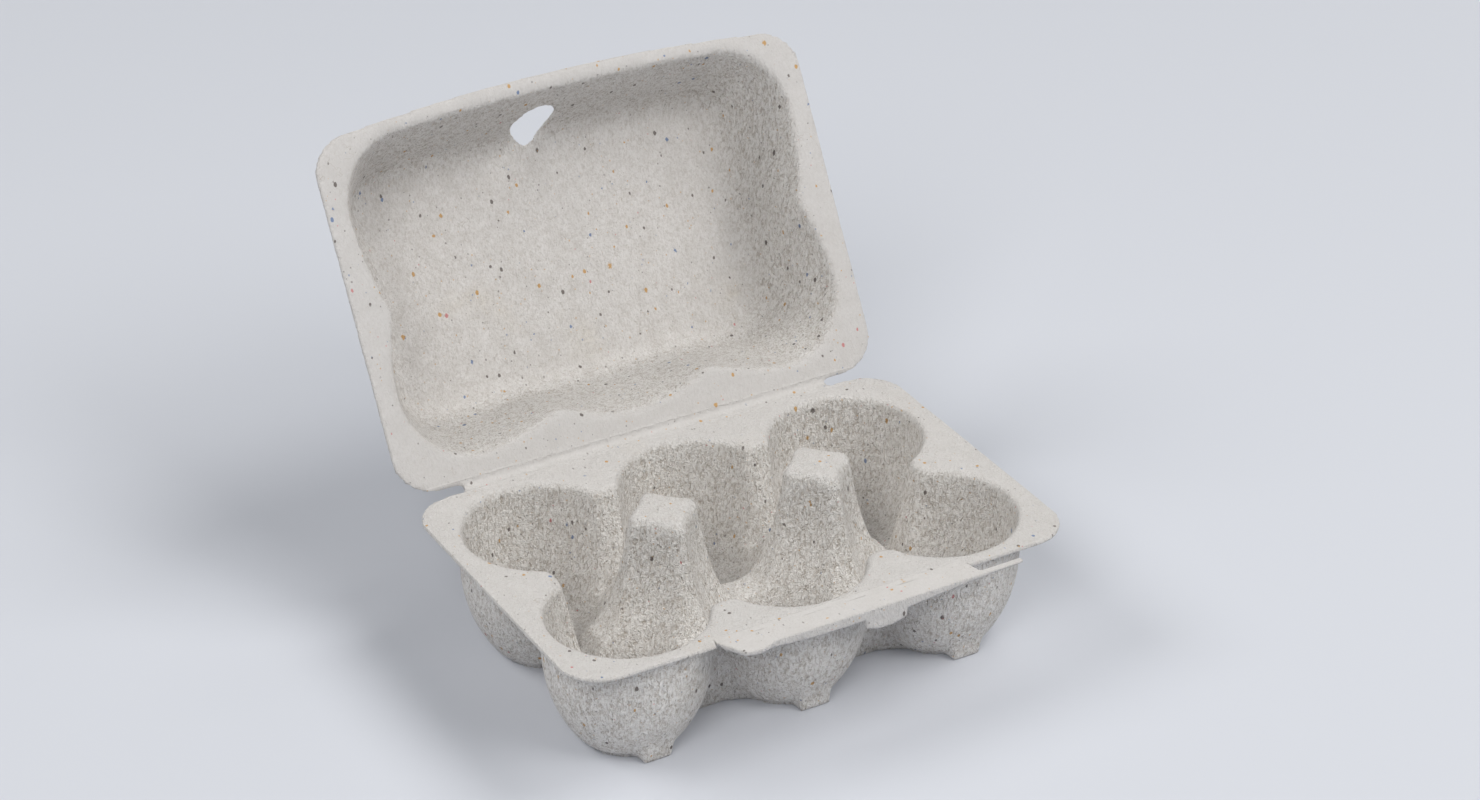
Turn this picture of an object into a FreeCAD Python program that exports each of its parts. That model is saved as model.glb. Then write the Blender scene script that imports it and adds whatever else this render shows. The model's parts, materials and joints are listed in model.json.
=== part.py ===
import FreeCAD, Part
import math
import os

# Six-egg carton moulded in one piece from paper pulp: a tray with six cups and two
# posts, a domed lid on a folded hinge, and a closing flap folded along the front.
# Millimetres.  Origin: the middle of the tray's base, on the surface that it stands on.
# +X runs along the three cups of a row, -Y is the front with the flap, +Z is up.
# The lid is drawn standing open, and the flap lies level with the tray's flange.

Vec = FreeCAD.Vector
X_AXIS = Vec(1, 0, 0)
Z_AXIS = Vec(0, 0, 1)

# ---- overall sizes ----
TRAY_LENGTH = 152.0
TRAY_WIDTH = 101.0
TRAY_HEIGHT = 38.0
WALL = 1.8
CORNER_RADIUS = 12.0

# ---- cups ----
CUP_COLUMNS = 3
CUP_ROWS = 2
CUP_PITCH = 48.0
RIM_RADIUS = 21.9
RIM_BREAK = 1.1
WALL_DRAFT = 4.5
BOWL_RADIUS = 39.9
BOWL_TOP = 26.5
BASE_RADIUS = 13.2
BASE_STEP = 2.0
LEDGE_HEIGHT = 3.3

# ---- feet, one before and one behind each column of cups ----
FOOT_WIDTH = 9.0
FOOT_REACH = 40.6
FOOT_HEIGHT = 10.0
FOOT_ROOT = 8.0
# share of the foot's height, then how much wider and further out it is there
FOOT_PROFILE = ((0, 0, 0), (0.4, 0.2, 0.4), (1, 0.5, 2.0))

# ---- noses: the wedges of flange that reach in between two cups ----
NOSE_OVERHANG = 8.3
NOSE_LEAN = 8.8
NOSE_TURN = 30.0
NOSE_TURN_RISE = 15.0
NOSE_ROOT = 0.88
MID_LEVELS = (16.0, 24.0)
SKIRT_FOOT_LEVELS = (0.0, 3.0, 9.0)

# ---- posts and the ridges between the cups ----
POST_HEIGHT = 48.8
POST_HALF = 9.8
POST_BREAK = 1.0
POST_WAIST = 26.4
POST_NECK = 2.0
POST_SHOULDER = 1.0
FLARE_DROP = 0.8
FLARE_SHARE = 0.55
FLARE_LEVEL = 0.4
FLARE_BELLY = 0.3
FLANK_CURVE = 2.3
FLANK_STEPS = 8
RIDGE_HEIGHT = 15.8
RIDGE_LEVEL = 3.0
RIDGE_OVERRUN = 0.4
RIDGE_END_SHARE = 0.35
GAP_FLOOR = 9.0

# ---- how far cutting shapes run past what they cut ----
OVERCUT = 1.0
HAIR = 0.1
ROOT_DEPTH = 12.0

# ---- lid ----
LID_ANGLE = 120.0
LID_REACH = 105.6
LID_BOW = 3.4
LID_DEPTH = 30.0
LID_WALL = 1.6
LID_DRAFT = 20.0
LID_CROWN = 9.0
CROWN_STEPS = 4
DOME_MID = 0.45
LID_OVERSIZE = 0.4
LID_RIM_SIDE = TRAY_LENGTH / 2 - 6.7
LID_RIM_BACK = 8.0
LID_RIM_FRONT = LID_REACH - 6.0
LID_RIM_BOW = 1.4
LID_CORNER_BACK = 21.0
LID_CORNER_FRONT = 20.5
SCALLOP_BACK = 5.5
SCALLOP_SIDE = 4.5
NOTCH_HALF = 3.5
NOTCH_RISE = 0.75
BACK_LOBE = 0.3
SIDE_LOBE = 0.25

# ---- lock hole in the lid's front wall ----
HOLE_X = -1.2
HOLE_DEPTH = 20.7
HOLE_HALF_WIDTH = 6.3
HOLE_HALF_HEIGHT = 8.9
HOLE_START = 15.6

# ---- hinge ----
HINGE_LENGTH = 116.0
HINGE_SETBACK = 1.1
HINGE_GAP = 0.4
HINGE_DIP = 0.3
HINGE_BULGE = 0.5
WEB_THICKNESS = 1.2

# ---- closing flap ----
FLAP_LEFT = -35.4
FLAP_RIGHT = 41.0
FLAP_REACH = 6.8
FLAP_WALL = 1.8
FLAP_END_GAP = 0.4
CREASE_SETBACK = 1.7
CREASE_HALF = 0.4
CREASE_THICKNESS = 0.6
CREASE_SINK = 0.3
FLAP_FLARE = 1.4
BUMP_START = 13.5
BUMP_PEAK = 8.5
BUMP_END = 4.2
BUMP_OUT = 1.6
BUMP_END_OUT = 0.6
LIP_START = 5.0
LIP_OVERHANG = 0.5
LIP_WIDTH = 1.6
LIP_DEPTH = 3.5
LIP_DEEP_LEFT = -8.0
LIP_DEEP_RIGHT = 18.0
LIP_TAIL = 55.0
LIP_TAIL_DEPTH = 1.6
LIP_TAIL_END = 1.0
NUB_X = 12.2
NUB_WIDTH = 12.6
NUB_DEPTH = 7.3
NUB_ROUND = 1.4
NUB_THICKNESS = 1.8


# ---------------------------------------------------------------- places
def spread(count, pitch):
    """Evenly pitched positions about zero."""
    first = -pitch * (count - 1) / 2
    return [first + pitch * i for i in range(count)]


COLUMNS = spread(CUP_COLUMNS, CUP_PITCH)
ROWS = spread(CUP_ROWS, CUP_PITCH)
POSTS = spread(CUP_COLUMNS - 1, CUP_PITCH)
ROW_END = ROWS[-1]
COLUMN_END = COLUMNS[-1]
HINGE_Y = TRAY_WIDTH / 2 + HINGE_SETBACK
HINGE_Z = TRAY_HEIGHT + HINGE_GAP / 2
CREASE_Y = -TRAY_WIDTH / 2 + CREASE_SETBACK


# ---------------------------------------------------------------- helpers
def segment(a, b):
    return Part.LineSegment(a, b).toShape()


def arc(a, via, b):
    return Part.Arc(a, via, b).toShape()


def closed_wire(points):
    """A closed polygon through the points."""
    return Part.makePolygon(points + [points[0]])


def slab(wire, thickness):
    """A flat plate raised from a level wire."""
    return Part.Face(wire).extrude(Vec(0, 0, thickness))


def joined(shapes):
    whole = shapes[0]
    for shape in shapes[1:]:
        whole = whole.fuse(shape)
    return whole


def rounded_outline(half_x, back, front, radius, bow, z):
    """A rectangle with round corners whose front edge (-Y) bows outwards."""
    slant = radius * (1 - math.sqrt(0.5))
    corners = [
        (half_x, back - radius), (half_x - slant, back - slant), (half_x - radius, back),
        (-half_x + radius, back), (-half_x + slant, back - slant), (-half_x, back - radius),
        (-half_x, front + radius), (-half_x + slant, front + slant),
        (-half_x + radius, front),
        (half_x - radius, front), (half_x - slant, front + slant),
        (half_x, front + radius),
    ]
    p = [Vec(x, y, z) for x, y in corners]
    edges = [arc(p[0], p[1], p[2]), segment(p[2], p[3]), arc(p[3], p[4], p[5]),
             segment(p[5], p[6]), arc(p[6], p[7], p[8])]
    if bow > 0:
        edges.append(arc(p[8], Vec(0, front - bow, z), p[9]))
    else:
        edges.append(segment(p[8], p[9]))
    edges += [arc(p[9], p[10], p[11]), segment(p[11], p[0])]
    return Part.Wire(edges)


# ---------------------------------------------------------------- cups
BOWL_CENTRE = RIM_RADIUS - (TRAY_HEIGHT - BOWL_TOP) * math.tan(math.radians(WALL_DRAFT)) - BOWL_RADIUS


def bowl_radius(z):
    """Inner radius of a cup at height z."""
    if z >= BOWL_TOP:
        return BOWL_CENTRE + BOWL_RADIUS + (z - BOWL_TOP) * math.tan(math.radians(WALL_DRAFT))
    return BOWL_CENTRE + math.sqrt(BOWL_RADIUS ** 2 - (BOWL_TOP - z) ** 2)


def bowl_arc(grow, z_low, z_high):
    """The bowl's side, grown outwards by a wall's thickness."""
    radius = BOWL_RADIUS + grow

    def at(z):
        return Vec(BOWL_CENTRE + math.sqrt(radius ** 2 - (BOWL_TOP - z) ** 2), 0, z)

    return arc(at(z_low), at((z_low + z_high) / 2), at(z_high)), at(z_low), at(z_high)


def turned(edges, x, y):
    """A solid turned about the vertical axis at (x, y) from a profile beside it."""
    solid = Part.Face(Part.Wire(edges)).revolve(Vec(0, 0, 0), Z_AXIS, 360)
    solid.translate(Vec(x, y, 0))
    return solid


def base_edges(grow, side_low):
    """The axis and the stepped bottom of a cup, up to where its round side starts."""
    if grow > 0:
        bottom, step_r, step_z = 0, BASE_RADIUS, BASE_STEP
    else:
        bottom, step_r, step_z = WALL, BASE_RADIUS - WALL, LEDGE_HEIGHT
    return [segment(Vec(0, 0, bottom), Vec(step_r, 0, bottom)),
            segment(Vec(step_r, 0, bottom), Vec(step_r, 0, step_z)),
            segment(Vec(step_r, 0, step_z), side_low)], bottom


def cup(grow, x, y):
    """A cup's solid: its hollow when grow is 0, its outside when grow is the wall."""
    low = BASE_STEP if grow > 0 else LEDGE_HEIGHT
    side, start, end = bowl_arc(grow, low, BOWL_TOP)
    edges, bottom = base_edges(grow, start)
    lip_z = TRAY_HEIGHT if grow > 0 else TRAY_HEIGHT - RIM_BREAK
    lip = Vec(bowl_radius(lip_z) + grow, 0, lip_z)
    edges += [side, segment(end, lip)]
    top = lip_z
    if grow == 0:
        brim = Vec(lip.x + RIM_BREAK, 0, TRAY_HEIGHT)
        over = Vec(brim.x, 0, TRAY_HEIGHT + OVERCUT)
        edges += [segment(lip, brim), segment(brim, over)]
        lip = over
        top = over.z
    edges += [segment(lip, Vec(0, 0, top)), segment(Vec(0, 0, top), Vec(0, 0, bottom))]
    return turned(edges, x, y)


def post_side(grow, x, y):
    """What a cup takes out of the posts: its bowl, then a flare up the posts' faces."""
    flare_low = RIDGE_HEIGHT - FLARE_DROP
    low = BASE_STEP if grow > 0 else LEDGE_HEIGHT
    side, start, end = bowl_arc(grow, low, flare_low)
    edges, bottom = base_edges(grow, start)
    waist = Vec(POST_WAIST + grow, 0, POST_HEIGHT - POST_NECK)
    middle = Vec(end.x + FLARE_SHARE * (waist.x - end.x) + FLARE_BELLY, 0,
                 end.z + FLARE_LEVEL * (waist.z - end.z))
    shoulder = Vec(waist.x + POST_SHOULDER, 0, POST_HEIGHT + HAIR)
    top = Vec(shoulder.x, 0, POST_HEIGHT + 2 * OVERCUT)
    edges += [side, arc(end, middle, waist), segment(waist, shoulder), segment(shoulder, top),
              segment(top, Vec(0, 0, top.z)), segment(Vec(0, 0, top.z), Vec(0, 0, bottom))]
    return turned(edges, x, y)


def every_cup(maker, grow):
    return joined([maker(grow, x, y) for x in COLUMNS for y in ROWS])


# ---------------------------------------------------------------- noses and skirt
def nose_tip(overhang, z, grow):
    """How far a nose's wall stands out from the line of cup centres at height z."""
    lean = NOSE_LEAN * (TRAY_HEIGHT - min(z, TRAY_HEIGHT)) / TRAY_HEIGHT
    return overhang - lean + grow


def inside_cup(x, y, toward_x, toward_y, z, grow):
    """A point well inside a cup's wall, towards one of its noses."""
    spread_angle = math.radians(NOSE_TURN + NOSE_TURN_RISE * min(z, TRAY_HEIGHT) / TRAY_HEIGHT)
    reach = NOSE_ROOT * (bowl_radius(min(max(z, WALL), TRAY_HEIGHT)) + grow)
    if toward_y == 0:
        along, across = math.sin(spread_angle), math.cos(spread_angle)
        return Vec(x + reach * along * toward_x, y - math.copysign(reach * across, y), z)
    along, across = math.cos(spread_angle), math.sin(spread_angle)
    return Vec(x + reach * along * toward_x, y + reach * across * toward_y, z)


def middle_outline(z, grow, level):
    """The middle's shape at height z, drawn at a level: lines in the cups, arcs at the noses."""
    edges = []
    points = []
    for side in (-1, 1):
        row = side * ROW_END
        order = COLUMNS if side < 0 else COLUMNS[::-1]
        for left, right in zip(order, order[1:]):
            step = math.copysign(1, right - left)
            a = inside_cup(left, row, step, side, z, grow)
            b = inside_cup(right, row, -step, side, z, grow)
            tip = Vec((left + right) / 2, row + side * nose_tip(NOSE_OVERHANG, z, grow), z)
            points.append((a, tip, b))
        end = -side * COLUMN_END
        a = inside_cup(end, row, -side, 0, z, grow)
        b = inside_cup(end, -row, -side, 0, z, grow)
        tip = Vec(end + -side * nose_tip(NOSE_OVERHANG, z, grow), 0, z)
        points.append((a, tip, b))
    for trio in points:
        for point in trio:
            point.z = level
    for i, (a, tip, b) in enumerate(points):
        edges.append(arc(a, tip, b))
        edges.append(segment(b, points[(i + 1) % len(points)][0]))
    return Part.Wire(edges)


def middle_solid(levels, grow):
    """The middle of the carton between two heights, as one leaning-walled solid."""
    wires = [middle_outline(z, grow, z) for z in levels]
    return Part.makeLoft(wires, True, True)


def middle_hollow():
    """The open space between the cups, with its upper edge broken."""
    levels = [GAP_FLOOR, *MID_LEVELS, TRAY_HEIGHT - RIM_BREAK]
    wires = [middle_outline(z, 0, z) for z in levels]
    wires.append(middle_outline(TRAY_HEIGHT, RIM_BREAK, TRAY_HEIGHT))
    wires.append(middle_outline(TRAY_HEIGHT, RIM_BREAK, TRAY_HEIGHT + OVERCUT))
    return Part.makeLoft(wires, True, True)


# ---------------------------------------------------------------- posts and ridges
def ridge_side(sign, centre):
    """One side of a post's outline: a broken top edge, then a curve that spreads to the ridge."""
    run = CUP_PITCH / 2 - RIDGE_LEVEL - POST_HALF
    rise = POST_HEIGHT - RIDGE_HEIGHT
    side = [(POST_HALF - POST_BREAK, POST_HEIGHT), (POST_HALF, POST_HEIGHT - POST_BREAK)]
    for i in range(1, FLANK_STEPS + 1):
        t = i / FLANK_STEPS
        side.append((POST_HALF + run * t, RIDGE_HEIGHT + rise * (1 - t) ** FLANK_CURVE))
    return [(centre + sign * d, z) for d, z in side]


def ridge_outline(centres):
    """Outline of the posts and ridges in a row, running below the base."""
    reach = centres[-1] + CUP_PITCH / 2
    shoulder_z = GAP_FLOOR + RIDGE_END_SHARE * (RIDGE_HEIGHT - GAP_FLOOR)
    end = reach + RIDGE_OVERRUN
    outline = [(-end, -ROOT_DEPTH), (-end, GAP_FLOOR), (-reach, shoulder_z)]
    for centre in centres:
        outline += ridge_side(-1, centre)[::-1]
        outline += ridge_side(1, centre)
    outline += [(reach, shoulder_z), (end, GAP_FLOOR), (end, -ROOT_DEPTH)]
    return outline


def ridge_block(outline, along_x, reach, inset):
    """An outline swept across the tray, drawn in by the wall when inset is set."""
    half = reach + RIDGE_OVERRUN - inset
    if along_x:
        wire = closed_wire([Vec(a, -half, z) for a, z in outline])
        sweep = Vec(0, 2 * half, 0)
    else:
        wire = closed_wire([Vec(-half, a, z) for a, z in outline])
        sweep = Vec(2 * half, 0, 0)
    if inset > 0:
        wire = wire.makeOffset2D(-inset)
    return Part.Face(wire).extrude(sweep)


def ridges(inset):
    """Ridges and posts before the cups are taken out: no higher than either outline."""
    lengthwise = ridge_block(ridge_outline(POSTS), True, ROW_END, inset)
    crosswise = ridge_block(ridge_outline([0]), False, COLUMN_END, inset)
    return lengthwise.common(crosswise)


# ---------------------------------------------------------------- tray
def foot(x, side):
    """A small lug under the front or back of a cup."""
    inner = ROW_END + FOOT_ROOT
    wires = []
    for share, widen, out in FOOT_PROFILE:
        z = share * FOOT_HEIGHT
        half = FOOT_WIDTH / 2 + widen
        near = side * inner
        far = side * (FOOT_REACH + out)
        wires.append(closed_wire([Vec(x - half, near, z), Vec(x + half, near, z),
                                  Vec(x + half, far, z), Vec(x - half, far, z)]))
    return Part.makeLoft(wires, True, True)


def tray():
    flange = slab(rounded_outline(TRAY_LENGTH / 2, TRAY_WIDTH / 2, -TRAY_WIDTH / 2,
                                  CORNER_RADIUS, 0, TRAY_HEIGHT - WALL), WALL)
    skirt = middle_solid([*SKIRT_FOOT_LEVELS, *MID_LEVELS, TRAY_HEIGHT], WALL)
    feet = [foot(x, side) for x in COLUMNS for side in (-1, 1)]
    outside = joined([flange, skirt, every_cup(cup, WALL)] + feet)
    shell = outside.cut(every_cup(cup, 0)).cut(middle_hollow())
    below = Part.makeBox(2 * TRAY_LENGTH, 2 * TRAY_LENGTH, 2 * ROOT_DEPTH,
                         Vec(-TRAY_LENGTH, -TRAY_LENGTH, -2 * ROOT_DEPTH))
    island = ridges(0).cut(every_cup(post_side, 0)).cut(below)
    under_levels = [-OVERCUT, SKIRT_FOOT_LEVELS[1], GAP_FLOOR - WALL]
    under = joined([ridges(WALL), middle_solid(under_levels, 0)])
    under = under.cut(every_cup(post_side, WALL))
    body = shell.fuse(island).cut(under)
    return body.cut(flap_opening()).removeSplitter()


# ---------------------------------------------------------------- lid, drawn shut about its fold
def lid_outline():
    half = TRAY_LENGTH / 2 + LID_OVERSIZE
    return rounded_outline(half, -HINGE_SETBACK, -LID_REACH + LID_BOW, CORNER_RADIUS, LID_BOW,
                           HINGE_GAP / 2)


def dome_outline(z, inset, grow, fade):
    """The dome's outline at height z: scalloped behind and at the sides, bowed in front."""
    side = LID_RIM_SIDE - inset + grow
    back = -LID_RIM_BACK - inset + grow
    front = -LID_RIM_FRONT + inset - grow
    r_back = LID_CORNER_BACK - inset + grow
    r_front = LID_CORNER_FRONT - inset + grow
    deep = SCALLOP_BACK * fade
    dent = SCALLOP_SIDE * fade
    rise = NOTCH_RISE * fade
    half = NOTCH_HALF
    mid_y = -HINGE_Y
    s_back = r_back * (1 - math.sqrt(0.5))
    s_front = r_front * (1 - math.sqrt(0.5))

    def at(x, y):
        return Vec(x, y, z)

    edges = []
    here = at(side, back - r_back)

    def add(via, end):
        edges.append(segment(here, end) if via is None else arc(here, via, end))
        return end

    # right back corner, then along the back to the left
    here = add(at(side - s_back, back - s_back), at(side - r_back, back))
    for centre in POSTS[::-1]:
        lobe_from = here
        before = at(centre + half, back - deep + rise)
        after = at(centre - half, back - deep + rise)
        via = at((lobe_from.x + before.x) / 2, back - BACK_LOBE * deep) if fade > 0 else None
        if centre != POSTS[-1] and fade > 0:
            via = at((lobe_from.x + before.x) / 2, back)
        here = add(via, before)
        here = add(at(centre, back - deep) if fade > 0 else None, after)
    corner = at(-side + r_back, back)
    via = at((here.x + corner.x) / 2, back - BACK_LOBE * deep) if fade > 0 else None
    here = add(via, corner)
    here = add(at(-side + s_back, back - s_back), at(-side, back - r_back))
    # left side, front and right side
    for sign in (-1, 1):
        x_out = sign * side
        x_in = sign * (side - dent)
        x_near = sign * (side - dent + rise)
        first, last = (mid_y + half, mid_y - half) if sign < 0 else (mid_y - half, mid_y + half)
        y_goal = front + r_front if sign < 0 else back - r_back
        via_in = at(sign * (side - SIDE_LOBE * dent), (here.y + first) / 2) if fade > 0 else None
        here = add(via_in, at(x_near, first))
        here = add(at(x_in, mid_y) if fade > 0 else None, at(x_near, last))
        via_out = at(sign * (side - SIDE_LOBE * dent), (last + y_goal) / 2) if fade > 0 else None
        here = add(via_out, at(x_out, y_goal))
        if sign < 0:
            here = add(at(-side + s_front, front + s_front), at(-side + r_front, front))
            here = add(at(0, front - LID_RIM_BOW), at(side - r_front, front))
            here = add(at(side - s_front, front + s_front), at(side, front + r_front))
    return Part.Wire(edges)


def dome_levels(depth, crown):
    """Heights and insets up the dome's wall and round its crown."""
    lean = math.radians(LID_DRAFT)
    turn = depth - crown * (1 - math.sin(lean))
    levels = [(share * turn, share * turn * math.tan(lean)) for share in (DOME_MID, 1)]
    centre = turn * math.tan(lean) + crown * math.cos(lean)
    for i in range(1, CROWN_STEPS + 1):
        angle = lean + (math.pi / 2 - lean) * i / CROWN_STEPS
        levels.append((depth - crown + crown * math.sin(angle), centre - crown * math.cos(angle)))
    return levels


def dome(grow):
    """The dome's hollow when grow is 0, its outside when grow is the lid's wall."""
    base = HINGE_GAP / 2
    depth = LID_DEPTH + grow
    if grow > 0:
        wires = [dome_outline(base, 0, grow, 1)]
    else:
        wires = [dome_outline(base - OVERCUT, -RIM_BREAK, 0, 1), dome_outline(base, -RIM_BREAK, 0, 1),
                 dome_outline(base + RIM_BREAK, 0, 0, 1)]
    for z, inset in dome_levels(depth, LID_CROWN + grow):
        fade = 1 - z / depth
        wires.append(dome_outline(base + z, inset, grow, max(fade, 0)))
    return Part.makeLoft(wires, True, True)


def lock_hole():
    """An oval cut along the lid's reach through its front wall."""
    centre = Vec(HOLE_X, HOLE_START - LID_RIM_FRONT, HINGE_GAP / 2 + HOLE_DEPTH)
    oval = Part.Ellipse(centre + Vec(0, 0, HOLE_HALF_HEIGHT), centre + Vec(HOLE_HALF_WIDTH, 0, 0),
                        centre)
    return Part.Face(Part.Wire([oval.toShape()])).extrude(Vec(0, -2 * HOLE_START, 0))


def opened(shape):
    """Turns a piece drawn shut about the fold to where it stands open."""
    shape.rotate(Vec(0, 0, 0), X_AXIS, -LID_ANGLE)
    shape.translate(Vec(0, HINGE_Y, HINGE_Z))
    return shape


def lid():
    flange = slab(lid_outline(), LID_WALL)
    shell = flange.fuse(dome(LID_WALL)).cut(dome(0)).cut(lock_hole())
    return opened(shell.removeSplitter())


# ---------------------------------------------------------------- folds
def lid_hinge():
    """The creased strip that joins the tray's back edge to the lid."""
    half = HINGE_LENGTH / 2
    low = Vec(-half, HINGE_Y - HINGE_SETBACK, TRAY_HEIGHT)
    angle = math.radians(180 - LID_ANGLE)
    along = Vec(0, math.cos(angle), math.sin(angle))
    behind = Vec(0, math.sin(angle), -math.cos(angle))
    fold = Vec(-half, HINGE_Y, TRAY_HEIGHT - HINGE_DIP)
    lid_edge = Vec(-half, HINGE_Y, HINGE_Z) + along * HINGE_SETBACK + behind * (HINGE_GAP / 2)
    wire = closed_wire([low, fold, lid_edge, lid_edge + behind * WEB_THICKNESS,
                        Vec(-half, HINGE_Y + HINGE_BULGE, TRAY_HEIGHT - HINGE_DIP - WEB_THICKNESS),
                        low - Vec(0, 0, WEB_THICKNESS)])
    return Part.Face(wire).extrude(Vec(HINGE_LENGTH, 0, 0))


def flap_opening():
    """What the flange gives up for the flap and its crease."""
    left = FLAP_LEFT - FLAP_END_GAP
    right = FLAP_RIGHT + FLAP_END_GAP
    inner = CREASE_Y + CREASE_HALF
    return Part.makeBox(right - left, 20, 20, Vec(left, inner - 20, TRAY_HEIGHT - WALL - 0.001))


def flap_crease():
    length = FLAP_RIGHT - FLAP_LEFT
    low = TRAY_HEIGHT - CREASE_SINK - CREASE_THICKNESS
    return Part.makeBox(length, 2 * CREASE_HALF, CREASE_THICKNESS,
                        Vec(FLAP_LEFT, CREASE_Y - CREASE_HALF, low))


def flap_plate(root, front):
    """The flap's level plate, cut back underneath so that it clears the tray as it folds."""
    top = TRAY_HEIGHT
    p = [Vec(FLAP_LEFT, root, top), Vec(FLAP_RIGHT, root, top),
         Vec(FLAP_RIGHT + FLAP_FLARE, front, top), Vec(FLAP_LEFT + BUMP_START, front, top),
         Vec(FLAP_LEFT + BUMP_PEAK, front - BUMP_OUT, top),
         Vec(FLAP_LEFT + BUMP_END, front - BUMP_END_OUT, top)]
    outline = Part.Wire([segment(p[0], p[1]), segment(p[1], p[2]), segment(p[2], p[3]),
                         arc(p[3], p[4], p[5]), segment(p[5], p[0])])
    plate = Part.Face(outline).extrude(Vec(0, 0, -FLAP_WALL))
    left = FLAP_LEFT - 1
    under = top - FLAP_WALL
    relief = closed_wire([Vec(left, root + 0.01, top - CREASE_THICKNESS),
                          Vec(left, root + 0.01, under - 1), Vec(left, root - FLAP_WALL, under - 1),
                          Vec(left, root - FLAP_WALL, under)])
    relief = Part.Face(relief).extrude(Vec(FLAP_RIGHT - FLAP_LEFT + 3, 0, 0))
    return plate.cut(relief)


def flap_lip(front):
    """The lip turned down along the flap's front, running on as a tail to the right."""
    top = TRAY_HEIGHT
    left = FLAP_LEFT + LIP_START
    outline = [(left, top), (LIP_TAIL, top), (LIP_TAIL, top - LIP_TAIL_END),
               (FLAP_RIGHT, top - LIP_TAIL_DEPTH), (LIP_DEEP_RIGHT, top - LIP_DEPTH),
               (LIP_DEEP_LEFT, top - LIP_DEPTH), (left, top - FLAP_WALL)]
    wire = closed_wire([Vec(x, front, z) for x, z in outline])
    return Part.Face(wire).extrude(Vec(0, LIP_WIDTH, 0))


def flap_nub(front):
    """The round-ended nub that hangs from the lip."""
    high = TRAY_HEIGHT - LIP_TAIL_END
    low = TRAY_HEIGHT - NUB_DEPTH
    left = NUB_X - NUB_WIDTH / 2
    right = NUB_X + NUB_WIDTH / 2
    edges = [segment(Vec(left, front, high), Vec(right, front, high)),
             segment(Vec(right, front, high), Vec(right, front, low + NUB_ROUND)),
             arc(Vec(right, front, low + NUB_ROUND), Vec(NUB_X, front, low),
                 Vec(left, front, low + NUB_ROUND)),
             segment(Vec(left, front, low + NUB_ROUND), Vec(left, front, high))]
    return Part.Face(Part.Wire(edges)).extrude(Vec(0, NUB_THICKNESS, 0))


def closing_flap():
    """A plate on the front fold with a turned-down lip, a tail and a lock nub."""
    front = CREASE_Y - FLAP_REACH - LIP_OVERHANG
    plate = flap_plate(CREASE_Y - CREASE_HALF, front)
    return joined([plate, flap_lip(front), flap_nub(front)]).removeSplitter()


PIECES = {
    "tray": tray,
    "lid": lid,
    "lid_hinge": lid_hinge,
    "closing_flap": closing_flap,
    "flap_crease": flap_crease,
}


def main():
    os.makedirs("parts", exist_ok=True)
    for name, make in PIECES.items():
        shape = make()
        shape.exportStep("parts/" + name + ".step")
        print(name, "valid", shape.isValid(), "solids", len(shape.Solids),
              "volume", round(shape.Volume))


main()
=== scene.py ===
# %% [markdown]
# # A moulded pulp egg carton
# Wet paper pulp is sucked onto a wire screen, dried and pressed. One sheet comes off the mould:
# a tray, a lid and a closing flap, joined along two folds. The frame that is loaded here holds
# each leaf as a hard-edged solid at its true size. Pulp has no hard edges, so each leaf is
# copied, given a fine even mesh, and worn soft. The frame itself is never touched.

# %% Load the frame
import json

import math

import bpy
from mathutils import Matrix, Vector

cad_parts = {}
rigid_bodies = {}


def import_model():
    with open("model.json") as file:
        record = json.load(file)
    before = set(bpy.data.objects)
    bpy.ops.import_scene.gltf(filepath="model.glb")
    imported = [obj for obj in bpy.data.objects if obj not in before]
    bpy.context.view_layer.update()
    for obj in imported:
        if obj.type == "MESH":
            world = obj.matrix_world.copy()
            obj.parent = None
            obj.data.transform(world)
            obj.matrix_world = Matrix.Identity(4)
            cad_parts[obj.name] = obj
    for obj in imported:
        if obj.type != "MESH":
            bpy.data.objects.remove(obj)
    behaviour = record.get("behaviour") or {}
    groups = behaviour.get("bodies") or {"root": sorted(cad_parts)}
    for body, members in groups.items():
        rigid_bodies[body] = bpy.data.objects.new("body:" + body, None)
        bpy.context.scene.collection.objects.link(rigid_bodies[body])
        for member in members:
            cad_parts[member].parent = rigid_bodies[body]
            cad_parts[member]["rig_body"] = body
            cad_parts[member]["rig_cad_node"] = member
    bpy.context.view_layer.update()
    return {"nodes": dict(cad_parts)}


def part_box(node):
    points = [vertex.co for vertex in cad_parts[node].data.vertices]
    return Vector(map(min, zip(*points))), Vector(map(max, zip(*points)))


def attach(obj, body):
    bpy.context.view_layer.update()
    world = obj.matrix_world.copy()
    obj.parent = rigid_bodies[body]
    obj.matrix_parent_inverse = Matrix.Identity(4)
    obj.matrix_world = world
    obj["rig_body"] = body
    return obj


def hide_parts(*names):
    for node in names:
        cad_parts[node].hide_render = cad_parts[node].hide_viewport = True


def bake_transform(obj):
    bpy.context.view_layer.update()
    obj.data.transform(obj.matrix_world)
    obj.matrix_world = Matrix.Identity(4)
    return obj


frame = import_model()
MM = 0.001
for leaf in sorted(frame["nodes"]):
    low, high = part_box(leaf)
    print(leaf, [round(v / MM, 1) for v in low], [round(v / MM, 1) for v in high])

# %% [markdown]
# Blender's operators act on whatever is selected, and loading leaves everything selected.
# So each step below starts by selecting only its own piece. A second helper adds a modifier,
# sets it and applies it at once, so that what is left is a plain mesh.

# %% Helpers for selecting and for modifiers
def pick(*pieces):
    bpy.ops.object.select_all(action="DESELECT")
    for piece in pieces:
        piece.select_set(True)
    bpy.context.view_layer.objects.active = pieces[-1]


def apply_modifier(piece, kind, **settings):
    pick(piece)
    bpy.ops.object.modifier_add(type=kind)
    modifier = piece.modifiers[-1]
    for key, value in settings.items():
        setattr(modifier, key, value)
    bpy.ops.object.modifier_apply(modifier=modifier.name)


def count_faces(piece):
    triangles = sum(len(face.vertices) - 2 for face in piece.data.polygons)
    print(piece.name, len(piece.data.vertices), "points,", triangles, "triangles")


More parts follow.
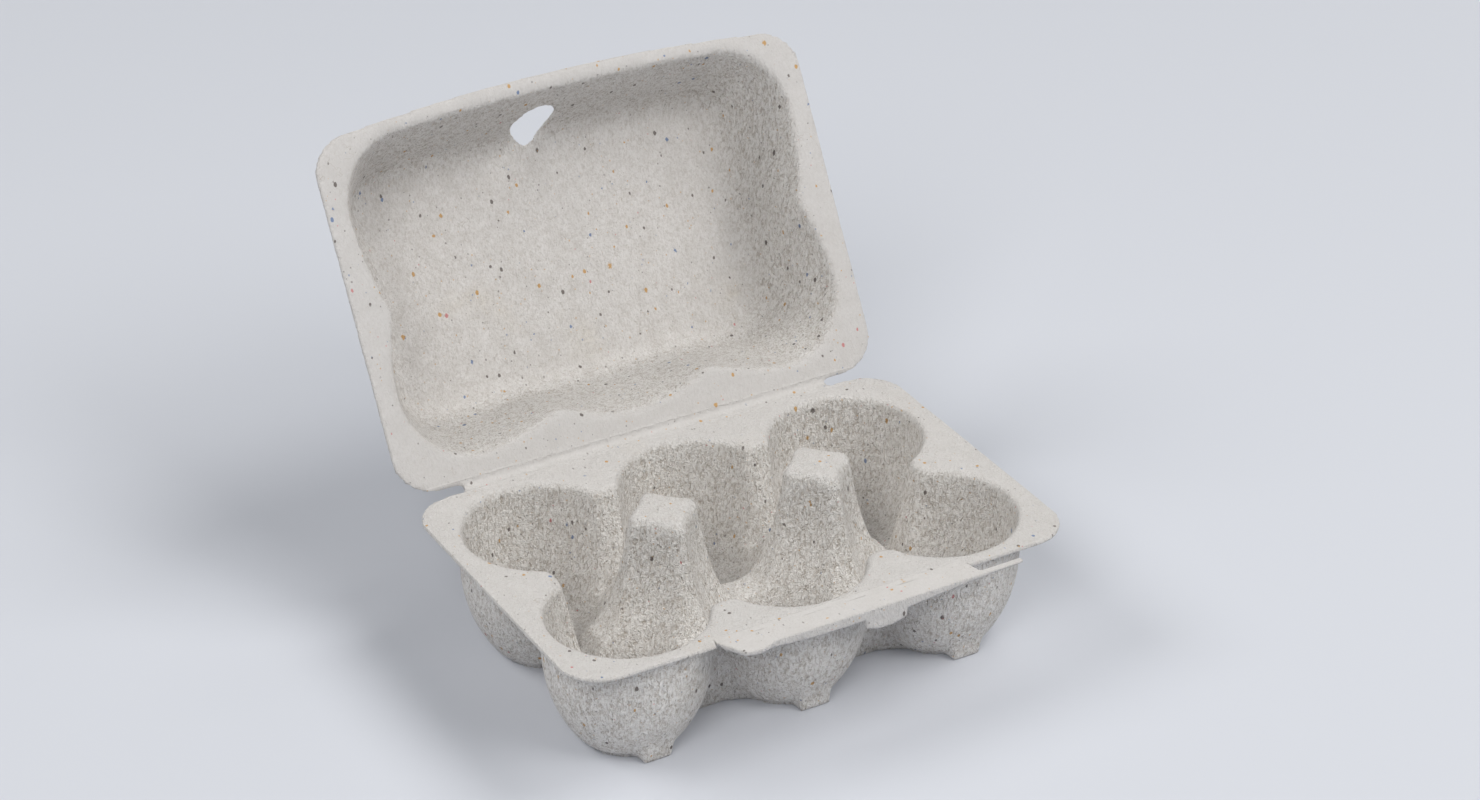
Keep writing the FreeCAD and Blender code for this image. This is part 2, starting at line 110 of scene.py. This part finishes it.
# %% [markdown]
# A leaf of the frame is made of loose triangles. A copy has its doubles merged first, so that
# it is one closed skin. The copy forgets which frame node it came from, because it will be a
# piece of its own.

# %% Copy leaves of the frame
MERGE = 0.01 * MM


def cast_of(name, *leaves):
    pick(*[frame["nodes"][leaf] for leaf in leaves])
    bpy.ops.object.duplicate()
    copies = list(bpy.context.selected_objects)
    bpy.context.view_layer.objects.active = copies[0]
    bpy.ops.object.parent_clear(type="CLEAR_KEEP_TRANSFORM")
    if len(copies) > 1:
        bpy.ops.object.join()
    cast = bpy.context.view_layer.objects.active
    cast.name = name
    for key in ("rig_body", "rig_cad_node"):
        if key in cast:
            del cast[key]
    cast.data.materials.clear()
    pick(cast)
    bpy.ops.object.mode_set(mode="EDIT")
    bpy.ops.mesh.select_all(action="SELECT")
    bpy.ops.mesh.remove_doubles(threshold=MERGE)
    bpy.ops.object.mode_set(mode="OBJECT")
    count_faces(cast)
    return cast


# %% [markdown]
# ## Tray, back fold and lid as one sheet
# On the real carton the sheet runs on without a seam from the tray's back edge, round the fold
# and into the lid. Three separate skins would show a gap at each join. So the three leaves are
# joined first and skinned together with a voxel remesh, which closes the joins and gives small
# even faces that can be worn soft. They are cut apart again later.

# %% Skin the sheet
PULP_GRAIN = 0.9 * MM
sheet = cast_of("sheet", "tray", "lid_hinge", "lid")
apply_modifier(sheet, "REMESH", mode="VOXEL", voxel_size=PULP_GRAIN, adaptivity=0.0)
count_faces(sheet)

# %% [markdown]
# Felted pulp is thick in hollows and thin on crests, so posts, ridges and feet are rounder than
# the flange is, and the cup bottoms are worn least. Three vertex groups mark these places. The
# first smoothing hardly touches the bottoms, and the others work on posts and feet. The remesh
# alone already turns the small step round each cup bottom into a slope.

# %% Wear the edges soft
POST_AREA_X = 62 * MM
POST_AREA_Y = 25 * MM
RIDGE_FOOT = 3 * MM
BOTTOM_BAND = 9 * MM
BOTTOM_WEAR = 0.12
FOOT_OUT = 36 * MM
FOOT_TOP = 8 * MM
SMOOTH_STEP = 0.5
BODY_PASSES = 3
POST_PASSES = 4
FOOT_PASSES = 9


def mark(piece, name, weight_at):
    group = piece.vertex_groups.new(name=name)
    for point in piece.data.vertices:
        weight = weight_at(point.co)
        if weight > 0:
            group.add([point.index], weight, "REPLACE")


def post_weight(co):
    inside = abs(co.x) < POST_AREA_X and abs(co.y) < POST_AREA_Y and co.z > RIDGE_FOOT
    return 1.0 if inside else 0.0


def body_weight(co):
    return 1.0 if co.z > BOTTOM_BAND else BOTTOM_WEAR


def foot_weight(co):
    return 1.0 if abs(co.y) > FOOT_OUT and co.z < FOOT_TOP else 0.0


mark(sheet, "body", body_weight)
mark(sheet, "posts", post_weight)
mark(sheet, "feet", foot_weight)
for area, passes in (("body", BODY_PASSES), ("posts", POST_PASSES), ("feet", FOOT_PASSES)):
    apply_modifier(sheet, "SMOOTH", factor=SMOOTH_STEP, iterations=passes, vertex_group=area)
count_faces(sheet)

# %% [markdown]
# The sheet is never quite even: it swells and dips by a tenth of a millimetre or two. A
# Displace modifier with a cloud texture moves the real surface, so the unevenness is still
# there from every side and in the mesh itself.

# %% Uneven sheet
SWELL = 0.22 * MM
SWELL_SIZE = 7 * MM
SWELL_DEPTH = 2


def uneven(piece, strength, size):
    clouds = bpy.data.textures.new("swell", "CLOUDS")
    clouds.noise_scale = size
    clouds.noise_depth = SWELL_DEPTH
    apply_modifier(piece, "DISPLACE", texture=clouds, texture_coords="LOCAL",
                   strength=strength, mid_level=0.5)


uneven(sheet, SWELL, SWELL_SIZE)

# %% [markdown]
# The even mesh spends as many triangles on a flat flange as on a post. Decimating it now,
# before it is cut, thins the flat places first and keeps the cut edges shared.

# %% Thin the mesh
KEEP_SHARE = 0.74
apply_modifier(sheet, "DECIMATE", ratio=KEEP_SHARE)
count_faces(sheet)

# %% [markdown]
# ## Cut the sheet at the fold
# The tray and the lid are stiff and the strip between them bends. The finished skin is copied
# three times and each copy is cut with Bisect, which also closes the cut. Neighbouring pieces
# are cut from the same skin along the same plane, so their edges match and no seam opens.

# %% Cut the three pieces
FOLD = Vector((0, 51.6, 38.2)) * MM
OPEN = math.radians(60)
LID_ALONG = Vector((0, math.cos(OPEN), math.sin(OPEN)))
TRAY_CUT = Vector((0, 49.4, 38.0)) * MM
LID_CUT = FOLD + LID_ALONG * 2.2 * MM
TRAY_SIDE = Vector((0, 1, 0))
CUT_REACH = 0.001 * MM


def cut_copy(source, name, *cuts):
    pick(source)
    bpy.ops.object.duplicate()
    piece = bpy.context.view_layer.objects.active
    piece.name = name
    for place, direction in cuts:
        pick(piece)
        bpy.ops.object.mode_set(mode="EDIT")
        bpy.ops.mesh.select_all(action="SELECT")
        bpy.ops.mesh.bisect(plane_co=place, plane_no=direction, use_fill=True,
                            clear_outer=True, threshold=CUT_REACH)
        bpy.ops.object.mode_set(mode="OBJECT")
    count_faces(piece)
    return piece


tray = cut_copy(sheet, "tray_pulp", (TRAY_CUT, TRAY_SIDE))
lid = cut_copy(sheet, "lid_pulp", (LID_CUT, -LID_ALONG))
fold = cut_copy(sheet, "fold_pulp", (TRAY_CUT, -TRAY_SIDE), (LID_CUT, LID_ALONG))
bpy.data.objects.remove(sheet)

# %% [markdown]
# ## Closing flap
# The flap stands free of the tray at both ends, by less than the grain of the big sheet. A
# shared skin would weld it to the flange, so it gets a finer skin of its own.

# %% Skin the flap
FLAP_GRAIN = 0.42 * MM
FLAP_PASSES = 4
FLAP_SWELL = 0.5 * SWELL
flap = cast_of("flap_pulp", "closing_flap")
apply_modifier(flap, "REMESH", mode="VOXEL", voxel_size=FLAP_GRAIN, adaptivity=0.0)
apply_modifier(flap, "SMOOTH", factor=SMOOTH_STEP, iterations=FLAP_PASSES)
uneven(flap, FLAP_SWELL, SWELL_SIZE)
count_faces(flap)

# %% [markdown]
# The flap's crease is a thin bar of the same sheet. Its long sides reach a little way into the
# tray and into the flap.

# %% Make the crease
crease_low, crease_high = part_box("flap_crease")
CREASE_TUCK = 0.7 * MM
CREASE_RISE = 0.27 * MM
CREASE_CUTS = 15


def crease_bar():
    size = crease_high - crease_low
    middle = (crease_low + crease_high) / 2
    bpy.ops.object.select_all(action="DESELECT")
    bpy.ops.mesh.primitive_cube_add(size=1, location=middle + Vector((0, 0, CREASE_RISE)))
    bar = bpy.context.view_layer.objects.active
    bar.name = "flap_crease_pulp"
    bar.scale = (size.x, size.y + 2 * CREASE_TUCK, size.z)
    bpy.ops.object.transform_apply(location=True, rotation=True, scale=True)
    bpy.ops.object.mode_set(mode="EDIT")
    bpy.ops.mesh.select_all(action="SELECT")
    bpy.ops.mesh.subdivide(number_cuts=CREASE_CUTS)
    bpy.ops.object.mode_set(mode="OBJECT")
    count_faces(bar)
    return bar


crease = crease_bar()

# %% [markdown]
# ## Smooth shading
# Shading by angle keeps the cut faces crisp and everything else round.

# %% Shade the pieces
SHARP = math.radians(50)
PIECES = (tray, lid, fold, flap, crease)
for piece in PIECES:
    pick(piece)
    bpy.ops.object.shade_smooth_by_angle(angle=SHARP)
print("shaded")

# %% [markdown]
# ## Where the press touched
# The flanges, the post tops and the flap are pressed flat, so they are smoother and more even
# in tone than the cups and the dome. The pressed places are marked in an attribute of each
# mesh, by their distance from the flange's plane, and the material reads it.

# %% Mark the pressed faces
FLANGE_TOP = 38 * MM
POST_TOP = 48.0 * MM
POST_X = 24 * MM
POST_ROOM = 20 * MM
POST_PRESS = 0.6
POST_FADE = 1.2 * MM
PRESS_FADE = 2.2 * MM
LID_BEHIND = Vector((0, math.sin(OPEN), -math.cos(OPEN)))


def share_of(value):
    return min(1.0, max(0.0, value))


def press_tray(co):
    from_post = math.hypot(abs(co.x) - POST_X, co.y)
    if from_post < POST_ROOM:
        return POST_PRESS * share_of(1 - (POST_TOP - co.z) / POST_FADE)
    return share_of(1 - (FLANGE_TOP - co.z) / PRESS_FADE)


def press_lid(co):
    depth = (co - FOLD).dot(LID_BEHIND)
    return share_of(1 - depth / PRESS_FADE)


def press_all(co):
    return 1.0


def press(piece, share_at):
    layer = piece.data.attributes.new("pressed", "FLOAT", "POINT")
    layer.data.foreach_set("value", [share_at(point.co) for point in piece.data.vertices])


press(tray, press_tray)
press(lid, press_lid)
for piece in (fold, flap, crease):
    press(piece, press_all)
print("pressed faces marked")

# %% [markdown]
# The steep walls are drawn off the mould against the wire, so they come out rougher than the
# faces that lie across the pull. A second attribute holds this: one on a wall, less on a level
# face, by the angle between the surface and the way the leaf was pulled off its mould.

# %% Mark the rough walls
WALL_ROUGH = 1.0
TRAY_LEVEL_ROUGH = 0.75
LID_LEVEL_ROUGH = 0.3
TRAY_PULL = Vector((0, 0, 1))


def roughen(piece, pull, level_rough):
    layer = piece.data.attributes.new("rough", "FLOAT", "POINT")
    values = []
    for point in piece.data.vertices:
        level = min(1.0, abs(point.normal.dot(pull)))
        values.append(WALL_ROUGH + (level_rough - WALL_ROUGH) * level ** 2)
    layer.data.foreach_set("value", values)


roughen(tray, TRAY_PULL, TRAY_LEVEL_ROUGH)
roughen(lid, LID_BEHIND, LID_LEVEL_ROUGH)
roughen(fold, LID_BEHIND, LID_LEVEL_ROUGH)
roughen(flap, TRAY_PULL, LID_LEVEL_ROUGH)
roughen(crease, TRAY_PULL, LID_LEVEL_ROUGH)
print("rough walls marked")

# %% [markdown]
# ## The pulp
# Pulp is grey-beige waste paper. It is matte and felted, faintly blotched, and strewn with
# flecks of whatever the paper was printed with. All patterns stand on Object coordinates in
# metres, and every piece keeps its object at the origin, so a pattern runs on from one piece
# to the next without a break.

# %% Node helpers
# The Mix node has sockets of one name for each type, so its colour sockets go by number.
MIX_A = 6
MIX_B = 7
MIX_RESULT = 2
pulp = bpy.data.materials.new("moulded_pulp")
pulp.use_nodes = True
nodes = pulp.node_tree.nodes
links = pulp.node_tree.links
nodes.clear()


def node(kind, **settings):
    made = nodes.new(kind)
    for key, value in settings.items():
        setattr(made, key, value)
    return made


def feed(socket, value):
    if isinstance(value, bpy.types.NodeSocket):
        links.new(value, socket)
    else:
        socket.default_value = value


def maths(operation, a, b=0.0):
    made = node("ShaderNodeMath", operation=operation)
    feed(made.inputs[0], a)
    feed(made.inputs[1], b)
    return made.outputs[0]


def ramp(value, low, high, start=0.0, end=1.0):
    made = node("ShaderNodeMapRange", interpolation_type="SMOOTHSTEP")
    for socket, given in zip(made.inputs, (value, low, high, start, end)):
        feed(socket, given)
    return made.outputs[0]


def blend_colour(share, a, b):
    made = node("ShaderNodeMix", data_type="RGBA")
    feed(made.inputs[0], share)
    feed(made.inputs[MIX_A], a)
    feed(made.inputs[MIX_B], b)
    return made.outputs[MIX_RESULT]


place = node("ShaderNodeTexCoord").outputs["Object"]


def stretched(scale):
    made = node("ShaderNodeMapping")
    links.new(place, made.inputs["Vector"])
    made.inputs["Scale"].default_value = scale
    return made.outputs[0]


def noise(scale, detail, vector=None, distortion=0.0):
    made = node("ShaderNodeTexNoise")
    links.new(place if vector is None else vector, made.inputs["Vector"])
    made.inputs["Scale"].default_value = scale
    made.inputs["Detail"].default_value = detail
    made.inputs["Distortion"].default_value = distortion
    return made.outputs["Fac"]


print("node helpers ready")

# %% [markdown]
# The relief has three parts: the felt, in short ridges; the wire screen, a finer even grain;
# and broad dimples. It is strongest on the rough walls and weakest where the sheet was pressed.

# %% Relief heights
FELT_CELLS = 1500
FELT_DETAIL = 3
FELT_STRETCH = (1, 1, 0.42)
FELT_WARP = 0.9
SCREEN_CELLS = 2700
SCREEN_DETAIL = 1
SCREEN_SHARE = 0.4
DIMPLE_CELLS = 430
DIMPLE_DETAIL = 2
DIMPLE_SHARE = 0.3
PRESSED_RELIEF = 0.5
pressed = node("ShaderNodeAttribute", attribute_name="pressed").outputs["Fac"]
rough = node("ShaderNodeAttribute", attribute_name="rough").outputs["Fac"]
relief = maths("MULTIPLY", rough, ramp(pressed, 0.0, 1.0, 1.0, PRESSED_RELIEF))
felt = noise(FELT_CELLS, FELT_DETAIL, stretched(FELT_STRETCH), FELT_WARP)
screen = noise(SCREEN_CELLS, SCREEN_DETAIL)
dimple = noise(DIMPLE_CELLS, DIMPLE_DETAIL)
bare_height = maths("ADD", felt, maths("MULTIPLY", screen, SCREEN_SHARE))
bare_height = maths("ADD", bare_height, maths("MULTIPLY", dimple, DIMPLE_SHARE))
height = maths("MULTIPLY", bare_height, relief)
print("relief heights ready")

# %% [markdown]
# The base is a grey-beige with two slow blotches in it: one of light and dark, and a rarer
# yellowish one where the pulp was browner. The relief darkens the pits between the felt's
# ridges with a painted shade and lightens the crests with a painted highlight.

# %% Ground colour
PULP_LIGHT = (0.60, 0.578, 0.568, 1)
PULP_DARK = (0.475, 0.45, 0.432, 1)
PULP_YELLOW = (0.56, 0.495, 0.39, 1)
# Painted shade for the pits between the felt's ridges.
PIT_PAINTED_SHADE = (0.465, 0.405, 0.345, 1)
# Painted highlight for the felt's crests.
CREST_PAINTED_HIGHLIGHT = (1.0, 0.98, 0.955, 1)
PRESS_TONE = (0.59, 0.573, 0.562, 1)
BLOTCH_CELLS = 190
BLOTCH_DETAIL = 6
BLOTCH_RANGE = (0.36, 0.70)
BLOTCH_SHARE = 0.55
YELLOW_CELLS = 34
YELLOW_DETAIL = 3
YELLOW_RANGE = (0.6, 0.78)
YELLOW_SHARE = 0.45
GRAIN_CELLS = 1500
GRAIN_DETAIL = 3
GRAIN_STRETCH = (1, 1, 0.5)
GRAIN_WARP = 0.8
GRAIN_RANGE = (0.40, 0.64)
GRAIN_SHARE = 0.6
PIT_LEVEL = 0.53
CREST_LEVEL = 1.0
# How strongly the relief's painted shade and painted highlight cover the ground colour.
PAINTED_RELIEF_LIGHT_SHARE = 0.75
PRESS_SHARE = 0.6
blotch = ramp(noise(BLOTCH_CELLS, BLOTCH_DETAIL), *BLOTCH_RANGE, 0.0, BLOTCH_SHARE)
colour = blend_colour(blotch, PULP_LIGHT, PULP_DARK)
yellow = ramp(noise(YELLOW_CELLS, YELLOW_DETAIL), *YELLOW_RANGE, 0.0, YELLOW_SHARE)
colour = blend_colour(yellow, colour, PULP_YELLOW)
grain = noise(GRAIN_CELLS, GRAIN_DETAIL, stretched(GRAIN_STRETCH), GRAIN_WARP)
grain_shade = ramp(grain, *GRAIN_RANGE, 0.0, GRAIN_SHARE)
colour = blend_colour(grain_shade, colour, PULP_DARK)
# Painted shade in the pits and painted highlight on the crests, by the felt's height.
texture = blend_colour(ramp(bare_height, PIT_LEVEL, CREST_LEVEL), PIT_PAINTED_SHADE, CREST_PAINTED_HIGHLIGHT)
colour = blend_colour(maths("MULTIPLY", relief, PAINTED_RELIEF_LIGHT_SHARE), colour, texture)
colour = blend_colour(maths("MULTIPLY", pressed, PRESS_SHARE), colour, PRESS_TONE)
print("ground colour ready")

# %% [markdown]
# A fleck is a scrap of printed paper a fraction of a millimetre across. A Voronoi texture
# gives each cell a centre and a random colour. The random colour decides whether the cell
# holds a fleck, how large it is and which ink it has. Each kind of fleck below gives its cells
# to the metre, the share of cells that hold one, how much their sizes differ, how the cells are
# stretched, and how strongly the ink covers.

# %% Flecks
FLECK_DARK = (0.11, 0.09, 0.08, 1)
FLECK_RUST = (0.52, 0.29, 0.08, 1)
FLECK_BLUE = (0.13, 0.20, 0.36, 1)
FLECK_PINK = (0.55, 0.20, 0.20, 1)
RUST_FROM = 0.42
BLUE_FROM = 0.80
PINK_FROM = 0.93
FLECK_TURN = (0.6, 0.9, 0.3)
FLECK_LEAST = 0.12
FLECK_EDGE = (-0.02, 0.03)
RAGGED_CELLS = 1800
RAGGED_DETAIL = 2
RAGGED_SHARE = 0.16
FLECK_KINDS = (
    (160, 0.30, 0.08, (1, 1, 0.7), 0.85),
    (330, 0.70, 0.14, (1, 1, 0.6), 0.85),
    (700, 0.55, 0.16, (1, 0.6, 1), 0.55),
)


def flecks(under, cells, share, radius, stretch, strength):
    bent = node("ShaderNodeMapping")
    links.new(place, bent.inputs["Vector"])
    bent.inputs["Scale"].default_value = stretch
    bent.inputs["Rotation"].default_value = FLECK_TURN
    cell = node("ShaderNodeTexVoronoi", feature="F1")
    links.new(bent.outputs[0], cell.inputs["Vector"])
    cell.inputs["Scale"].default_value = cells
    split = node("ShaderNodeSeparateColor")
    links.new(cell.outputs["Color"], split.inputs[0])
    chosen, size, ink = split.outputs
    wobble = maths("MULTIPLY", noise(RAGGED_CELLS, RAGGED_DETAIL), RAGGED_SHARE)
    ragged = maths("ADD", cell.outputs["Distance"], wobble)
    reach = maths("ADD", maths("MULTIPLY", size, radius), FLECK_LEAST)
    inside = ramp(maths("SUBTRACT", reach, ragged), *FLECK_EDGE)
    here = maths("MULTIPLY", inside, maths("LESS_THAN", chosen, share))
    tint = blend_colour(maths("GREATER_THAN", ink, RUST_FROM), FLECK_DARK, FLECK_RUST)
    tint = blend_colour(maths("GREATER_THAN", ink, BLUE_FROM), tint, FLECK_BLUE)
    tint = blend_colour(maths("GREATER_THAN", ink, PINK_FROM), tint, FLECK_PINK)
    return blend_colour(maths("MULTIPLY", here, strength), under, tint)


for kind in FLECK_KINDS:
    colour = flecks(colour, *kind)
print("flecks ready")

# %% [markdown]
# Here and there a stray fibre lies on the skin. The line where a noise crosses its own middle
# value is thin and wandering, as a fibre is, and a slower noise lets only a few of them show.

# %% Fibres
FIBRE = (0.30, 0.235, 0.17, 1)
FIBRE_CELLS = 210
FIBRE_DETAIL = 2
FIBRE_WIDTH = 0.006
FIBRE_PATCHES = 75
PATCH_DETAIL = 1
PATCH_RANGE = (0.56, 0.62)
FIBRE_SHARE = 0.45
NOISE_MIDDLE = 0.5
from_middle = maths("SUBTRACT", noise(FIBRE_CELLS, FIBRE_DETAIL), NOISE_MIDDLE)
off_middle = maths("ABSOLUTE", from_middle)
fibre_line = ramp(off_middle, 0.0, FIBRE_WIDTH, 1.0, 0.0)
fibre_where = ramp(noise(FIBRE_PATCHES, PATCH_DETAIL), *PATCH_RANGE)
fibre = maths("MULTIPLY", fibre_line, fibre_where)
colour = blend_colour(maths("MULTIPLY", fibre, FIBRE_SHARE), colour, FIBRE)
print("fibres ready")

# %% [markdown]
# The same relief also tilts the surface, through a Bump node.

# %% Bump and shader
BUMP_STRENGTH = 1.0
BUMP_DISTANCE = 1.25 * MM
PULP_ROUGHNESS = 0.92
PULP_SHEEN = 0.2
bump = node("ShaderNodeBump")
links.new(height, bump.inputs["Height"])
bump.inputs["Strength"].default_value = BUMP_STRENGTH
bump.inputs["Distance"].default_value = BUMP_DISTANCE
shader = node("ShaderNodeBsdfPrincipled")
links.new(colour, shader.inputs["Base Color"])
links.new(bump.outputs[0], shader.inputs["Normal"])
shader.inputs["Roughness"].default_value = PULP_ROUGHNESS
shader.inputs["Specular IOR Level"].default_value = PULP_SHEEN
surface = node("ShaderNodeOutputMaterial")
links.new(shader.outputs[0], surface.inputs["Surface"])
for piece in PIECES:
    piece.data.materials.clear()
    piece.data.materials.append(pulp)
print("pulp ready")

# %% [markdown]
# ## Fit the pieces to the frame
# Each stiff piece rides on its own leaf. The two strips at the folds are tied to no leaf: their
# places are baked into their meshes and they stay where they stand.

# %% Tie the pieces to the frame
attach(tray, "tray")
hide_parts("tray")
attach(lid, "lid")
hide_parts("lid")
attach(flap, "closing_flap")
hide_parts("closing_flap")
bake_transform(fold)
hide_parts("lid_hinge")
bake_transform(crease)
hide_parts("flap_crease")
print("pieces tied to the frame")

# %% [markdown]
# ## Studio
# The carton stands on a wide pale floor in a ring of five large soft lights, as in a studio
# tent. Four are nearly equal, and the one behind on the right is weak. The sky is bluer than
# the lights and adds only a little, so it tints the shadows.

# %% Floor
FLOOR_SIZE = 14
FLOOR_COLOUR = (0.612, 0.632, 0.686, 1)
FLOOR_ROUGHNESS = 0.9
FLOOR_SHEEN = 0.1
bpy.ops.object.select_all(action="DESELECT")
bpy.ops.mesh.primitive_plane_add(size=FLOOR_SIZE, location=(0, 0, 0))
floor = bpy.context.view_layer.objects.active
floor.name = "floor"
floor_paint = bpy.data.materials.new("floor_paint")
floor_paint.use_nodes = True
floor_shader = floor_paint.node_tree.nodes["Principled BSDF"]
floor_shader.inputs["Base Color"].default_value = FLOOR_COLOUR
floor_shader.inputs["Roughness"].default_value = FLOOR_ROUGHNESS
floor_shader.inputs["Specular IOR Level"].default_value = FLOOR_SHEEN
floor.data.materials.append(floor_paint)
print("floor", FLOOR_SIZE, "m")

# %% Light
SKY = 0.12
SKY_COLOUR = (0.76, 0.87, 1.0, 1)
LAMP_COLOUR = (1.0, 0.985, 0.955)
LAMP_SIZE = 1.3
LAMP_AIM = Vector((0, 0.03, 0.04))
# name, place in metres, watts
LAMPS = (
    ("right_light", (1.303, -0.521, 2.189), 24.8),
    ("front_light", (0.935, -1.663, 1.767), 24.4),
    ("left_light", (-1.429, -1.299, 1.741), 23.0),
    ("back_left_light", (-1.559, 0.910, 1.871), 21.6),
    ("back_right_light", (1.170, 1.300, 1.924), 6.5),
)
world = bpy.data.worlds.new("studio_sky")
bpy.context.scene.world = world
world.use_nodes = True
sky = world.node_tree.nodes["Background"]
sky.inputs["Color"].default_value = SKY_COLOUR
sky.inputs["Strength"].default_value = SKY


def soft_light(name, place_at, power):
    bpy.ops.object.select_all(action="DESELECT")
    bpy.ops.object.light_add(type="AREA", location=place_at)
    light = bpy.context.view_layer.objects.active
    light.name = name
    light.data.shape = "DISK"
    light.data.size = LAMP_SIZE
    light.data.energy = power
    light.data.color = LAMP_COLOUR
    aim = LAMP_AIM - Vector(place_at)
    light.rotation_mode = "QUATERNION"
    light.rotation_quaternion = aim.to_track_quat("-Z", "Y")
    light.visible_camera = False
    print(name, power, "W")


for lamp in LAMPS:
    soft_light(*lamp)
bpy.context.scene.view_settings.view_transform = "Standard"

# %% [markdown]
# ## Camera
# The camera looks down at the carton from the front left, through a long lens.

# %% Camera
CAMERA_AT = Vector((-0.4285, -0.7514, 0.5747))
AZIMUTH = math.radians(-29.70)
ELEVATION = math.radians(30.01)
ROLL = math.radians(-0.27)
LENS = 91.2
SENSOR = 36
back = Vector((math.sin(AZIMUTH) * math.cos(ELEVATION),
               -math.cos(AZIMUTH) * math.cos(ELEVATION), math.sin(ELEVATION)))
right = Vector((math.cos(AZIMUTH), math.sin(AZIMUTH), 0))
up = back.cross(right)
turned_right = right * math.cos(ROLL) + up * math.sin(ROLL)
turned_up = up * math.cos(ROLL) - right * math.sin(ROLL)
bpy.ops.object.select_all(action="DESELECT")
bpy.ops.object.camera_add(location=CAMERA_AT)
camera = bpy.context.view_layer.objects.active
camera.data.lens = LENS
camera.data.sensor_width = SENSOR
aim = Matrix((turned_right, turned_up, back)).transposed().to_4x4()
aim.translation = CAMERA_AT
camera.matrix_world = aim
bpy.context.scene.camera = camera
print("camera set")
